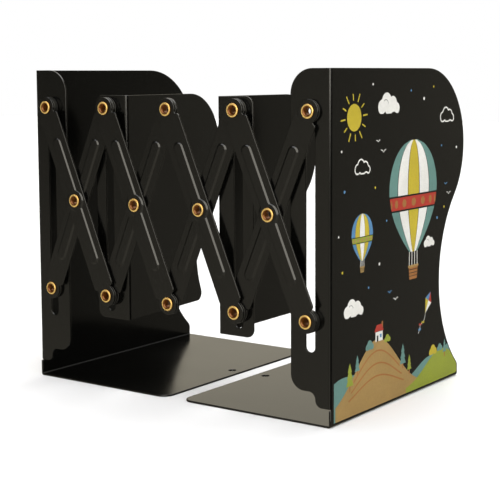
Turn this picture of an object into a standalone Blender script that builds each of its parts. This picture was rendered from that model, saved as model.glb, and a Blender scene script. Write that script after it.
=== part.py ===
"""Expandable desktop book rack, in metres, +Z up, +X to the right end and +Y to the back.

Two bent steel end plates stand on their own folded bases. A lattice of crossing arms, riveted
in front of them, spreads them apart, and two dividers hang on the lattice between them. The
top rivets keep their height and the bottom ones slide in the slots as the lattice opens.
"""

import math

import bmesh
import bpy
from mathutils import Matrix

# End plates: a side panel, a front flange and a base, folded from one sheet.
plate_height = 0.195
plate_depth = 0.1573
plate_sheet = 0.0012
plate_bend_inside = 0.0005
plate_back_top_radius = 0.047
plate_hollow_radius = 0.0762
plate_heel_height = 0.0059
plate_heel_radius = 0.005

flange_width = 0.026
flange_top_radius = 0.014
flange_bottom_radius = 0.0085
flange_bottom_height = 0.0187
flange_step_drop = 0.0083
flange_step_inset = 0.010
flange_slit = 0.0006

base_gap = 0.0118
base_depth = 0.1515
base_corner_radius = 0.007
base_hole_radius = 0.0025
base_hole_inset = 0.0072

# Dividers: a flange and a panel, folded from one sheet, hung on the lattice clear of the bases.
divider_sheet = 0.0010
divider_bend_inside = 0.0008
divider_above_top_pin = 0.0077
divider_below_bottom_pin = 0.0144
divider_flange_width = 0.0247
divider_fold_to_pin = 0.0143
divider_flange_radius = 0.005
divider_depth = 0.106
divider_back_top_radius = 0.035
divider_hollow_radius = 0.061
divider_heel_depth = 0.082
divider_heel_radius = 0.005
left_divider_fold_deg = 96.0
right_divider_fold_deg = 88.5

# Lattice: five columns of pins, four cells.
pin_columns = 5
column_pitch = 0.0483
pin_inset = 0.0131
top_pin_drop = 0.023
bottom_pin_height = 0.0582

arm_sheet = 0.0012
arm_width = 0.0152
arm_head_radius = 0.0065
arm_shoulder_to_pin = 0.0070
arm_shoulder_radius = 0.0020
arm_notch_radius = 0.0010
rib_to_pin = 0.0205
rib_width = 0.0072
rib_height = 0.0008
rib_slope = 0.0011
boss_radius = 0.0068

# Hollow rivets, and the slots that the bottom ones slide in.
shank_radius = 0.0025
rivet_wall = 0.0006
rivet_head_radius = 0.0040
rivet_head_thickness = 0.0007
rivet_tail_radius = 0.0037
rivet_tail_thickness = 0.0006
rivet_rounding_share = 0.25
slot_clearance = 0.0005
slot_below_top_pin = 0.009
slot_below_bottom_pin = 0.0176
divider_slot_margin = 0.0048

# Rings on the rivets, and the gaps that let everything turn.
ring_radius = 0.0065
washer_thickness = 0.0008
seat_gap = 0.00025
hole_clearance = 0.0003

merge_distance = 0.000001

# Depths in front of the flanges' front faces, worked out from the stack on a rivet.
rear_arm_back = washer_thickness + 2 * seat_gap
rear_arm_face = rear_arm_back + arm_sheet
front_arm_back = rear_arm_face + rib_height + seat_gap
front_arm_face = front_arm_back + arm_sheet
frontmost = front_arm_face + rib_height + seat_gap + rivet_head_thickness

lattice_width = (pin_columns - 1) * column_pitch
overall_width = lattice_width + 2 * pin_inset
base_width = (overall_width - base_gap) / 2
flange_front = (frontmost - plate_depth) / 2
top_pin_height = plate_height - top_pin_drop
pin_rise = top_pin_height - bottom_pin_height
arm_length = math.hypot(column_pitch, pin_rise)
arm_angle = math.atan2(column_pitch, pin_rise)
rivet_bore_radius = shank_radius - rivet_wall
hole_radius = shank_radius + hole_clearance
slot_radius = shank_radius + slot_clearance
slot_top_height = top_pin_height - slot_below_top_pin
slot_bottom_height = bottom_pin_height - slot_below_bottom_pin
divider_top_height = top_pin_height + divider_above_top_pin
divider_bottom_height = bottom_pin_height - divider_below_bottom_pin
divider_slot_bottom_height = divider_bottom_height + divider_slot_margin

quarter = math.pi / 2
upright = (0, 0, 0)
long_arc_steps = 24
arc_steps = 8
small_arc_steps = 4
hole_steps = 16
turned_steps = 20
bend_steps = 4
smooth_limit_deg = 30


def column_x(column):
    """Where a column of pins stands, counted from 1 at the left."""
    return pin_inset - overall_width / 2 + (column - 1) * column_pitch


def clear_scene():
    for obj in list(bpy.data.objects):
        bpy.data.objects.remove(obj, do_unlink=True)


def make_material(name, colour, roughness, metallic):
    material = bpy.data.materials.new(name)
    material.use_nodes = True
    shader = material.node_tree.nodes["Principled BSDF"]
    shader.inputs["Base Color"].default_value = (*colour, 1)
    shader.inputs["Roughness"].default_value = roughness
    shader.inputs["Metallic"].default_value = metallic
    return material


def arc(centre, radius, start, end, steps):
    """Points on an arc, both ends included. The angles are in radians."""
    points = []
    for step in range(steps + 1):
        angle = start + (end - start) * step / steps
        across = centre[0] + radius * math.cos(angle)
        up = centre[1] + radius * math.sin(angle)
        points.append((across, up))
    return points


def circle(centre, radius, steps):
    return arc(centre, radius, 0, 2 * math.pi, steps)[:-1]


def upright_slot(across, bottom, top, radius, steps):
    """A slot with round ends, given by its lowest and highest points."""
    upper = arc((across, top - radius), radius, 0, math.pi, steps)
    lower = arc((across, bottom + radius), radius, math.pi, 2 * math.pi, steps)
    return upper + lower


def hollow_centre(top, heel, radius):
    """Where the circle of this radius lies that touches the circles of the top and the heel."""
    top_centre, top_radius = top
    heel_centre, heel_radius = heel
    across = heel_centre[0] - top_centre[0]
    up = heel_centre[1] - top_centre[1]
    span = math.hypot(across, up)
    to_top = radius + top_radius
    to_heel = radius + heel_radius
    swing = math.acos((to_top**2 + span**2 - to_heel**2) / (2 * to_top * span))
    angle = math.atan2(up, across) + swing
    return top_centre[0] + to_top * math.cos(angle), top_centre[1] + to_top * math.sin(angle)


def back_edge(top, heel, hollow_radius, heel_end):
    """A panel's back edge from its top down: a round top, a hollow and the small round heel."""
    top_centre, top_radius = top
    heel_centre, heel_radius = heel
    centre = hollow_centre(top, heel, hollow_radius)
    meet = math.atan2(centre[1] - top_centre[1], centre[0] - top_centre[0])
    heel_meet = math.atan2(centre[1] - heel_centre[1], centre[0] - heel_centre[0])
    edge = arc(top_centre, top_radius, quarter, meet, long_arc_steps)
    edge += arc(centre, hollow_radius, math.pi + meet, math.pi + heel_meet, long_arc_steps)[1:]
    edge += arc(heel_centre, heel_radius, heel_meet, heel_end, small_arc_steps)[1:]
    return edge


def plate_back():
    """The end plate's back edge, as depth and height. Its heel ends upright, over the base."""
    radius = plate_back_top_radius
    top = ((plate_depth - radius, plate_height - radius), radius)
    heel = ((base_depth - plate_heel_radius, plate_heel_height), plate_heel_radius)
    return back_edge(top, heel, plate_hollow_radius, 0)


def divider_back():
    """The divider's back edge, as depth and height. Its heel ends level, in the bottom edge."""
    radius = divider_back_top_radius
    top = ((divider_depth - radius, divider_top_height - radius), radius)
    low = divider_heel_radius
    heel = ((divider_heel_depth - low, divider_bottom_height + low), low)
    return back_edge(top, heel, divider_hollow_radius, -quarter)


def add_loop(bm, points):
    """A closed loop of edges in the XZ plane."""
    verts = [bm.verts.new((across, 0, up)) for across, up in points]
    following = verts[1:] + verts[:1]
    return [bm.edges.new(pair) for pair in zip(verts, following)]


def fill_between(bm, loops):
    """Fills the outline that the loops draw, and leaves the loops inside it as holes."""
    edges = [edge for loop in loops for edge in loop]
    filled = bmesh.ops.triangle_fill(bm, edges=edges, use_beauty=True, normal=(0, -1, 0))
    return [item for item in filled["geom"] if isinstance(item, bmesh.types.BMFace)]


def crease_lines(bm, axis, places):
    """Cuts the flat sheet along lines, so that it can be folded there."""
    normal = (1, 0, 0) if axis == 0 else (0, 0, 1)
    for place in places:
        point = tuple(place * side for side in normal)
        everything = bm.verts[:] + bm.edges[:] + bm.faces[:]
        bmesh.ops.bisect_plane(bm, geom=everything, dist=merge_distance, plane_co=point, plane_no=normal)


def bend_places(radius, angle):
    return [radius * angle * step / bend_steps for step in range(bend_steps + 1)]


def folded(run, radius, angle):
    """Where a run along a strip lands once the strip is folded round a bend that starts at 0.

    The strip comes along the first axis towards 0 and leaves along the second.
    """
    if run <= 0:
        return -run, 0
    turned = min(run / radius, angle)
    rest = run - radius * turned
    along = -radius * math.sin(turned) - rest * math.cos(turned)
    out = radius - radius * math.cos(turned) + rest * math.sin(turned)
    return along, out


def thickened(name, bm, thickness):
    """A closed mesh with this thickness, from the flat or folded middle surface in bm."""
    bmesh.ops.recalc_face_normals(bm, faces=bm.faces[:])
    surface = bpy.data.meshes.new(name)
    bm.to_mesh(surface)
    bm.free()
    sheet = bpy.data.objects.new(name, surface)
    bpy.context.scene.collection.objects.link(sheet)
    solidify = sheet.modifiers.new("Sheet", "SOLIDIFY")
    solidify.thickness = thickness
    solidify.offset = 0
    solidify.use_even_offset = True
    graph = bpy.context.evaluated_depsgraph_get()
    mesh = bpy.data.meshes.new_from_object(sheet.evaluated_get(graph))
    bpy.data.objects.remove(sheet, do_unlink=True)
    bpy.data.meshes.remove(surface)
    mesh.name = name
    mesh.shade_smooth()
    mesh.set_sharp_from_angle(angle=math.radians(smooth_limit_deg))
    return mesh


def place(name, mesh, location, turn, material):
    """A new object in the part's collection. Meshes that are shared get their material once."""
    obj = bpy.data.objects.new(name, mesh)
    obj.location = location
    obj.rotation_euler = turn
    if not mesh.materials:
        mesh.materials.append(material)
    parts.objects.link(obj)
    return obj


def end_plate_mesh(name, side):
    """An end plate round its top pin. side is 1 for the left plate and -1 for its mirror image.

    The flat pattern has the flange left of the panel and the base below it, both folded in.
    A slit below the flange leaves the panel's foot flat, flush with the flange's front.
    """
    half_sheet = plate_sheet / 2
    bend = plate_bend_inside + half_sheet
    seat = half_sheet + bend
    wrap = bend * quarter

    def panel_run(depth):
        return wrap + depth - seat

    def flange_run(width):
        return seat - width

    def rise(height):
        return height - seat

    def base_drop(width):
        return -wrap - (width - seat)

    bm = bmesh.new()
    outline = [(panel_run(depth), rise(height)) for depth, height in plate_back()]
    corner = base_corner_radius
    base_back = panel_run(base_depth)
    base_front = panel_run(0)
    base_end = base_drop(base_width)
    outline.append((base_back, 0))
    outline += arc((base_back - corner, base_end + corner), corner, 0, -quarter, arc_steps)
    outline += arc((base_front + corner, base_end + corner), corner, -quarter, -2 * quarter, arc_steps)
    step_radius = flange_step_drop / 2
    step_low = flange_bottom_height - flange_step_drop
    foot_top = rise(step_low - flange_slit)
    outline += [(base_front, foot_top), (wrap, foot_top)]
    step = arc(
        (flange_run(flange_step_inset - step_radius), rise(step_low + step_radius)),
        step_radius,
        -quarter,
        -2 * quarter,
        small_arc_steps,
    )
    step += arc(
        (flange_run(flange_step_inset + step_radius), rise(flange_bottom_height - step_radius)),
        step_radius,
        0,
        quarter,
        small_arc_steps,
    )[1:]
    outline.append((wrap, rise(step_low)))
    outline += step
    low = min(flange_bottom_radius, flange_width - flange_step_inset - step_radius)
    free_low = (flange_run(flange_width - low), rise(flange_bottom_height + low))
    outline += arc(free_low, low, -quarter, -2 * quarter, arc_steps)
    high = flange_top_radius
    free_high = (flange_run(flange_width - high), rise(plate_height - high))
    outline += arc(free_high, high, 2 * quarter, quarter, arc_steps)

    pin_run = flange_run(pin_inset)
    pin_hole = circle((pin_run, rise(top_pin_height)), hole_radius, hole_steps)
    slot = upright_slot(
        pin_run, rise(slot_bottom_height), rise(slot_top_height), slot_radius, arc_steps
    )
    hole_place = (panel_run(base_depth / 2), base_drop(base_width - base_hole_inset))
    base_hole = circle(hole_place, base_hole_radius, hole_steps)
    loops = [add_loop(bm, points) for points in (outline, pin_hole, slot, base_hole)]
    fill_between(bm, loops)
    crease_lines(bm, 0, bend_places(bend, quarter))
    crease_lines(bm, 2, [-place for place in bend_places(bend, quarter)])
    for vert in bm.verts:
        run, _, up = vert.co
        if up <= merge_distance:
            depth = run - wrap + seat
            inward, height = folded(-up, bend, quarter)
            across, height = height + half_sheet, inward + seat
        elif up <= foot_top + merge_distance:
            across, depth, height = half_sheet, run - wrap + seat, up + seat
        else:
            inward, out = folded(run, bend, quarter)
            across, depth = inward + seat, out + half_sheet
            height = up + seat
        vert.co = (side * (across - pin_inset), depth, height - top_pin_height)
    return thickened(name, bm, plate_sheet)


def divider_mesh(name, side, fold_deg):
    """A divider round its top pin. side is 1 where the flange points to the right."""
    half_sheet = divider_sheet / 2
    bend = divider_bend_inside + half_sheet
    seat = half_sheet + bend
    fold = math.radians(fold_deg)
    wrap = bend * fold

    def panel_run(depth):
        return wrap + depth - seat

    def flange_run(width):
        return seat - width

    bm = bmesh.new()
    outline = [(panel_run(depth), height) for depth, height in divider_back()]
    corner = divider_flange_radius
    free = flange_run(divider_flange_width)
    low = (free + corner, divider_bottom_height + corner)
    high = (free + corner, divider_top_height - corner)
    outline += arc(low, corner, -quarter, -2 * quarter, small_arc_steps)
    outline += arc(high, corner, 2 * quarter, quarter, small_arc_steps)

    pin_run = flange_run(divider_fold_to_pin)
    pin_hole = circle((pin_run, top_pin_height), hole_radius, hole_steps)
    slot = upright_slot(
        pin_run, divider_slot_bottom_height, slot_top_height, slot_radius, arc_steps
    )
    fill_between(bm, [add_loop(bm, points) for points in (outline, pin_hole, slot)])
    crease_lines(bm, 0, bend_places(bend, fold))
    for vert in bm.verts:
        run, _, height = vert.co
        inward, out = folded(run, bend, fold)
        across = side * (inward + seat - divider_fold_to_pin)
        vert.co = (across, out + half_sheet, height - top_pin_height)
    return thickened(name, bm, divider_sheet)


def arm_end():
    """The edge of an arm's lower half, from its right side round the head to its left side.

    The round head is narrower than the arm, and a small notch lies between head and shoulder.
    """
    pin = -arm_length / 2
    side = arm_width / 2 - arm_shoulder_radius
    shoulder = (side, arm_shoulder_to_pin)
    away = math.hypot(*shoulder)
    notch_away = arm_head_radius + arm_notch_radius
    apart = arm_shoulder_radius + arm_notch_radius
    swing = math.acos((away**2 + notch_away**2 - apart**2) / (2 * away * notch_away))
    notch_angle = math.atan2(shoulder[1], shoulder[0]) - swing
    notch = (notch_away * math.cos(notch_angle), notch_away * math.sin(notch_angle))
    turn = math.atan2(notch[1] - shoulder[1], notch[0] - shoulder[0])
    right = arc(shoulder, arm_shoulder_radius, 0, turn, small_arc_steps)
    right += arc(notch, arm_notch_radius, turn + math.pi, notch_angle + math.pi, small_arc_steps)[1:]
    right += arc((0, 0), arm_head_radius, notch_angle, -quarter, arc_steps)[1:]
    left = [(-across, up) for across, up in reversed(right[:-1])]
    return [(across, pin + up) for across, up in right + left]


def rib_half():
    """The upper half of the raised rib's edge: the side of its middle boss, then its round end."""
    half_rib = rib_width / 2
    end = arm_length / 2 - rib_to_pin - half_rib
    meet = math.acos(half_rib / boss_radius)
    side = arc((0, 0), boss_radius, 0, meet, small_arc_steps)
    cap = arc((0, end), half_rib, 0, math.pi, arc_steps)
    other_side = [(-across, up) for across, up in reversed(side[1:])]
    return side + cap + other_side


def turned_about(points):
    """The points, and the same ones after half a turn."""
    return points + [(-across, -up) for across, up in points]


def arm_mesh(name, origin_height):
    """An arm standing upright, with its origin this far above its middle."""
    bm = bmesh.new()
    edge = add_loop(bm, turned_about(arm_end()))
    rib = add_loop(bm, turned_about(rib_half()))
    pin = arm_length / 2
    ends = [add_loop(bm, circle((0, up), hole_radius, hole_steps)) for up in (pin, -pin)]
    middle = add_loop(bm, circle((0, 0), hole_radius, hole_steps))
    fill_between(bm, [edge, rib] + ends)
    raised = fill_between(bm, [rib, middle])
    bmesh.ops.inset_region(
        bm, faces=raised, thickness=rib_slope, use_boundary=False, use_even_offset=True
    )
    lifted = {vert for face in raised for vert in face.verts}
    for vert in lifted:
        vert.co.y -= rib_height
    for vert in bm.verts:
        vert.co.z -= origin_height
    return thickened(name, bm, arm_sheet)


def turned_mesh(name, profile):
    """The closed profile of a ring, of radius and height, running down its outer side."""
    bm = bmesh.new()
    verts = [bm.verts.new((radius, 0, up)) for radius, up in profile]
    following = verts[1:] + verts[:1]
    for pair in zip(verts, following):
        bm.edges.new(pair)
    mesh = bpy.data.meshes.new(name)
    bm.to_mesh(mesh)
    bm.free()
    return mesh


def place_turned(name, mesh, location, material):
    """Places a ring and turns it, with its Z axis pointing to the front."""
    obj = place(name, mesh, location, (quarter, 0, 0), material)
    screw = obj.modifiers.new("Turn", "SCREW")
    screw.steps = turned_steps
    screw.render_steps = turned_steps
    screw.use_merge_vertices = True
    screw.merge_threshold = merge_distance
    screw.use_smooth_shade = True
    return obj


def rivet_mesh(name, grip):
    """A hollow rivet from its head, at Z 0 and up, to its rolled tail below the grip."""
    rounding = rivet_rounding_share * (rivet_head_radius - rivet_bore_radius)
    rolled = rivet_head_radius - rounding
    mouth = rivet_bore_radius + rounding
    profile = [
        (mouth, rivet_head_thickness),
        (rolled, rivet_head_thickness),
        (rivet_head_radius, rivet_head_thickness / 2),
        (rivet_head_radius, 0),
        (shank_radius, 0),
        (shank_radius, -grip),
        (rivet_tail_radius, -grip),
        (rivet_tail_radius, -grip - rivet_tail_thickness),
        (mouth, -grip - rivet_tail_thickness),
        (rivet_bore_radius, -grip),
        (rivet_bore_radius, 0),
    ]
    return turned_mesh(name, profile)


def ring_mesh(name, thickness):
    """A flat ring from Z 0 up."""
    profile = [
        (ring_radius, thickness),
        (ring_radius, 0),
        (hole_radius, 0),
        (hole_radius, thickness),
    ]
    return turned_mesh(name, profile)


def carry(obj, carrier):
    """Lets a carrier take an object along, and leaves the object where it is."""
    bpy.context.view_layer.update()
    obj.parent = carrier
    obj.matrix_parent_inverse = Matrix(carrier.matrix_world).inverted()


def make_plates_and_dividers():
    left = place(
        "left_end_plate",
        end_plate_mesh("left_end_plate", 1),
        (column_x(1), flange_front, top_pin_height),
        upright,
        coat,
    )
    right = place(
        "right_end_plate",
        end_plate_mesh("right_end_plate", -1),
        (column_x(pin_columns), flange_front, top_pin_height),
        upright,
        coat,
    )
    left_divider = place(
        "left_divider",
        divider_mesh("left_divider", -1, left_divider_fold_deg),
        (column_x(2), flange_front, top_pin_height),
        upright,
        coat,
    )
    right_divider = place(
        "right_divider",
        divider_mesh("right_divider", 1, right_divider_fold_deg),
        (column_x(pin_columns - 1), flange_front, top_pin_height),
        upright,
        coat,
    )
    return left, right, left_divider, right_divider


def make_arms():
    """The front arms fall to the right from their top pins, and the rear ones to the left."""
    front_mesh = arm_mesh("front_arm", arm_length / 2)
    rear_mesh = arm_mesh("rear_arm", 0)
    middle_height = (top_pin_height + bottom_pin_height) / 2
    front_middle = flange_front - (front_arm_back + front_arm_face) / 2
    rear_middle = flange_front - (rear_arm_back + rear_arm_face) / 2
    fronts = []
    rears = []
    for cell in range(1, pin_columns):
        start = (column_x(cell), front_middle, top_pin_height)
        fronts.append(place(f"front_arm_{cell}", front_mesh, start, (0, -arm_angle, 0), arm_coat))
        crossing = (column_x(cell) + column_pitch / 2, rear_middle, middle_height)
        rears.append(place(f"rear_arm_{cell}", rear_mesh, crossing, (0, arm_angle, 0), arm_coat))
    return fronts, rears


def make_stack(row, column, height, has_front, has_rear, sheet):
    """The rivet of one pin and its rings. sheet is the flange behind it, or 0 without one."""
    where = column_x(column)
    face = front_arm_face if has_front else rear_arm_face
    head_seat = face + seat_gap
    back = -sheet if sheet else rear_arm_back
    grip = head_seat - back + seat_gap
    pieces = []
    rivet = rivet_mesh(f"{row}_rivet_{column}", grip)
    seat = (where, flange_front - head_seat, height)
    pieces.append(place_turned(f"{row}_rivet_{column}", rivet, seat, brass))
    if has_front and has_rear:
        gap = front_arm_back - rear_arm_face
        ring = ring_mesh(f"{row}_spacer_{column}", gap - 2 * seat_gap)
        seat = (where, flange_front - rear_arm_face - seat_gap, height)
        pieces.append(place_turned(f"{row}_spacer_{column}", ring, seat, steel))
    if sheet:
        arm_back = rear_arm_back if has_rear else front_arm_back
        kind = "washer" if has_rear else "collar"
        ring = ring_mesh(f"{row}_{kind}_{column}", arm_back - 2 * seat_gap)
        seat = (where, flange_front - seat_gap, height)
        pieces.append(place_turned(f"{row}_{kind}_{column}", ring, seat, steel))
    return pieces


def make_middle_rivet(cell):
    head_seat = front_arm_face + rib_height + seat_gap
    grip = head_seat - rear_arm_back - rib_height + seat_gap
    rivet = rivet_mesh(f"middle_rivet_{cell}", grip)
    height = (top_pin_height + bottom_pin_height) / 2
    seat = (column_x(cell) + column_pitch / 2, flange_front - head_seat, height)
    return place_turned(f"middle_rivet_{cell}", rivet, seat, brass)


def make_lattice(left, right, left_divider, right_divider):
    """Places the arms, rivets and rings, and chains them so that each is carried by its parent."""
    fronts, rears = make_arms()
    divider_columns = (2, pin_columns - 1)
    for column in range(1, pin_columns + 1):
        sheet = 0
        if column in (1, pin_columns):
            sheet = plate_sheet
        if column in divider_columns:
            sheet = divider_sheet
        first = column == 1
        last = column == pin_columns
        top = make_stack("top", column, top_pin_height, not last, not first, sheet)
        bottom = make_stack("bottom", column, bottom_pin_height, not first, not last, sheet)
        if first:
            top_carrier, bottom_carrier = left, rears[0]
        elif last:
            top_carrier, bottom_carrier = right, fronts[-1]
        else:
            top_carrier, bottom_carrier = fronts[column - 1], fronts[column - 2]
        for piece in top:
            carry(piece, top_carrier)
        for piece in bottom:
            carry(piece, bottom_carrier)
    for cell in range(1, pin_columns):
        carry(make_middle_rivet(cell), fronts[cell - 1])
    previous = left
    for front, rear in zip(fronts, rears):
        carry(front, previous)
        carry(rear, front)
        previous = rear
    carry(right, previous)
    carry(left_divider, fronts[1])
    carry(right_divider, fronts[-1])


clear_scene()
parts = bpy.data.collections.new("desktop_book_rack")
bpy.context.scene.collection.children.link(parts)
coat = make_material("black_powder_coat", (0.018, 0.018, 0.015), 0.42, 0)
arm_coat = make_material("black_arm_coat", (0.020, 0.020, 0.017), 0.38, 0)
brass = make_material("polished_brass", (0.80, 0.55, 0.22), 0.22, 1)
steel = make_material("dark_steel", (0.10, 0.10, 0.095), 0.40, 1)
make_lattice(*make_plates_and_dividers())
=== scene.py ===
"""Looks of the desktop book rack: finer pieces, finishes, a generic print, light and camera."""

import math

import bmesh
import bpy
from mathutils import Matrix, Vector


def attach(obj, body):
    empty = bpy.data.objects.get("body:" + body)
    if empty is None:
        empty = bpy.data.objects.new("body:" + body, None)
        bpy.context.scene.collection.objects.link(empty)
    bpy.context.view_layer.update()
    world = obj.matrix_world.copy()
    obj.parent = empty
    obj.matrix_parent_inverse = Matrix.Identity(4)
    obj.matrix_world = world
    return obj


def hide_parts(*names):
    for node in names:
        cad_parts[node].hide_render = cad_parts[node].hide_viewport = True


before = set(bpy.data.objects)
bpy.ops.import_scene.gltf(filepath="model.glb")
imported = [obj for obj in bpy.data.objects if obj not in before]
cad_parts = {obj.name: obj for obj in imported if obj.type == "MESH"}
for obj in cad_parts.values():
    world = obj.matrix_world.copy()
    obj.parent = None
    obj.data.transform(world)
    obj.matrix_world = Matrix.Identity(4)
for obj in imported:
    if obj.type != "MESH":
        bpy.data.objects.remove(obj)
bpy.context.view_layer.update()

# Sizes repeated from the part's source, in metres.
plate_height = 0.195
plate_depth = 0.1573
plate_sheet = 0.0012
plate_bend_inside = 0.0005
plate_back_top_radius = 0.047
plate_hollow_radius = 0.0762
plate_heel_height = 0.0059
plate_heel_radius = 0.005

flange_width = 0.026
flange_top_radius = 0.014
flange_bottom_radius = 0.0085
flange_bottom_height = 0.0187
flange_step_drop = 0.0083
flange_step_inset = 0.010
flange_slit = 0.0006

base_gap = 0.0118
base_depth = 0.1515
base_corner_radius = 0.007
base_hole_radius = 0.0025
base_hole_inset = 0.0072

divider_sheet = 0.0010
divider_bend_inside = 0.0008
divider_above_top_pin = 0.0077
divider_below_bottom_pin = 0.0144
divider_flange_width = 0.0247
divider_fold_to_pin = 0.0143
divider_flange_radius = 0.005
divider_depth = 0.106
divider_back_top_radius = 0.035
divider_hollow_radius = 0.061
divider_heel_depth = 0.082
divider_heel_radius = 0.005
left_divider_fold_deg = 96.0
right_divider_fold_deg = 88.5

pin_columns = 5
column_pitch = 0.0483
pin_inset = 0.0131
top_pin_drop = 0.023
bottom_pin_height = 0.0582

arm_sheet = 0.0012
arm_width = 0.0152
arm_head_radius = 0.0065
arm_shoulder_to_pin = 0.0070
arm_shoulder_radius = 0.0020
arm_notch_radius = 0.0010
rib_to_pin = 0.0205
rib_width = 0.0072
rib_height = 0.0008
boss_radius = 0.0068

shank_radius = 0.0025
rivet_wall = 0.0006
rivet_head_radius = 0.0040
rivet_head_thickness = 0.0007
rivet_tail_radius = 0.0037
rivet_tail_thickness = 0.0006
slot_clearance = 0.0005
slot_below_top_pin = 0.009
slot_below_bottom_pin = 0.0176
divider_slot_margin = 0.0048

ring_radius = 0.0065
washer_thickness = 0.0008
seat_gap = 0.00025
hole_clearance = 0.0003

rear_arm_back = washer_thickness + 2 * seat_gap
rear_arm_face = rear_arm_back + arm_sheet
front_arm_back = rear_arm_face + rib_height + seat_gap
front_arm_face = front_arm_back + arm_sheet
frontmost = front_arm_face + rib_height + seat_gap + rivet_head_thickness

overall_width = (pin_columns - 1) * column_pitch + 2 * pin_inset
base_width = (overall_width - base_gap) / 2
flange_front = (frontmost - plate_depth) / 2
top_pin_height = plate_height - top_pin_drop
middle_height = (top_pin_height + bottom_pin_height) / 2
pin_rise = top_pin_height - bottom_pin_height
arm_length = math.hypot(column_pitch, pin_rise)
arm_angle = math.atan2(column_pitch, pin_rise)
rivet_bore_radius = shank_radius - rivet_wall
hole_radius = shank_radius + hole_clearance
slot_radius = shank_radius + slot_clearance
slot_top_height = top_pin_height - slot_below_top_pin
slot_bottom_height = bottom_pin_height - slot_below_bottom_pin
divider_top_height = top_pin_height + divider_above_top_pin
divider_bottom_height = bottom_pin_height - divider_below_bottom_pin
divider_slot_bottom_height = divider_bottom_height + divider_slot_margin

# Sizes and steps of the finer shapes.
quarter = math.pi / 2
arc_step_deg = 5
fewest_arc_steps = 3
close = 0.0000001
sharpest_mitre = 0.3
edge_round = 0.0003
edge_steps = 4
guard = 0.00005
bend_steps = 14
bend_guard = 0.0001

rib_slope = 0.00125
rib_steps = 10
rib_ease = 0.3
rib_fillet = 0.0016

turned_steps = 72
ring_round = 0.00018
ring_corner_steps = 4
head_crown_radius = 0.00335
head_lip_share = 0.2
head_steps = 10
funnel_depth = 0.0016
funnel_steps = 14
tail_crown_radius = 0.0030
tail_lip_share = 0.25
tail_funnel_depth = 0.0009
tail_steps = 8
undercut = 0.0001

ink_layer = 0.00002
ink_layers = 4
ink_depth = ink_layer * ink_layers
ink_root = 0.00002


# Outlines.


def ellipse(centre, wide, tall, start, end, steps):
    """Points on a part of an ellipse, both ends included. The angles are in radians."""
    points = []
    for step in range(steps + 1):
        angle = start + (end - start) * step / steps
        points.append((centre[0] + wide * math.cos(angle), centre[1] + tall * math.sin(angle)))
    return points


def arc(centre, radius, start, end):
    """Points on an arc, with a step for every few degrees."""
    steps = max(fewest_arc_steps, math.ceil(abs(end - start) / math.radians(arc_step_deg)))
    return ellipse(centre, radius, radius, start, end, steps)


def circle(centre, radius):
    return arc(centre, radius, 0, 2 * math.pi)[:-1]


def upright_slot(across, bottom, top, radius):
    upper = arc((across, top - radius), radius, 0, math.pi)
    return upper + arc((across, bottom + radius), radius, math.pi, 2 * math.pi)


def back_edge(top, heel, hollow_radius, heel_end):
    """A panel's back edge from its top down: a round top, a hollow and the small round heel."""
    top_centre, top_radius = top
    heel_centre, heel_radius = heel
    across = heel_centre[0] - top_centre[0]
    up = heel_centre[1] - top_centre[1]
    span = math.hypot(across, up)
    to_top = hollow_radius + top_radius
    to_heel = hollow_radius + heel_radius
    swing = math.acos((to_top**2 + span**2 - to_heel**2) / (2 * to_top * span))
    angle = math.atan2(up, across) + swing
    centre = (top_centre[0] + to_top * math.cos(angle), top_centre[1] + to_top * math.sin(angle))
    meet = math.atan2(centre[1] - top_centre[1], centre[0] - top_centre[0])
    heel_meet = math.atan2(centre[1] - heel_centre[1], centre[0] - heel_centre[0])
    edge = arc(top_centre, top_radius, quarter, meet)
    edge += arc(centre, hollow_radius, math.pi + meet, math.pi + heel_meet)[1:]
    return edge + arc(heel_centre, heel_radius, heel_meet, heel_end)[1:]


def plate_back():
    radius = plate_back_top_radius
    top = ((plate_depth - radius, plate_height - radius), radius)
    heel = ((base_depth - plate_heel_radius, plate_heel_height), plate_heel_radius)
    return back_edge(top, heel, plate_hollow_radius, 0)


def divider_back():
    radius = divider_back_top_radius
    top = ((divider_depth - radius, divider_top_height - radius), radius)
    low = divider_heel_radius
    heel = ((divider_heel_depth - low, divider_bottom_height + low), low)
    return back_edge(top, heel, divider_hollow_radius, -quarter)


def area(points):
    following = points[1:] + points[:1]
    return sum(a[0] * b[1] - a[1] * b[0] for a, b in zip(points, following)) / 2


def oriented(points, hole):
    """The outline without points that coincide, counter-clockwise, or clockwise for a hole."""
    kept = []
    for point in points:
        if not kept or math.dist(point, kept[-1]) > close:
            kept.append(point)
    if math.dist(kept[0], kept[-1]) <= close:
        kept.pop()
    return kept[::-1] if (area(kept) < 0) != hole else kept


def inset(points, distance):
    """The outline moved by this distance to its left."""
    moved = []
    for index, (x, y) in enumerate(points):
        before, after = points[index - 1], points[(index + 1) % len(points)]
        first = Vector((x - before[0], y - before[1])).normalized()
        second = Vector((after[0] - x, after[1] - y)).normalized()
        both = first + second
        mitre = Vector((-both.y, both.x)) / max(sharpest_mitre, 1 + first.dot(second))
        moved.append((x + mitre.x * distance, y + mitre.y * distance))
    return moved


# Sheets.


def rim_rows(thickness):
    """How far in and how far out each row of a sheet's rounded edge lies, from face to face."""
    half = thickness / 2
    upper = [(edge_round + guard, half)]
    for step in range(edge_steps + 1):
        angle = quarter * step / edge_steps
        upper.append((edge_round * (1 - math.sin(angle)), half - edge_round * (1 - math.cos(angle))))
    return upper + [(distance, -out) for distance, out in reversed(upper)]


def point_layer(bm, name):
    """wear is 1 on rounded edges. fold is 1 on a fold's hollow side, where the coat is dull."""
    layers = bm.verts.layers.float
    return layers.get(name) or layers.new(name)


def add_band(bm, upper, lower):
    """Faces between two closed rows of equally many points."""
    count = len(upper)
    for index in range(count):
        after = (index + 1) % count
        bm.faces.new((upper[index], upper[after], lower[after], lower[index]))


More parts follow.
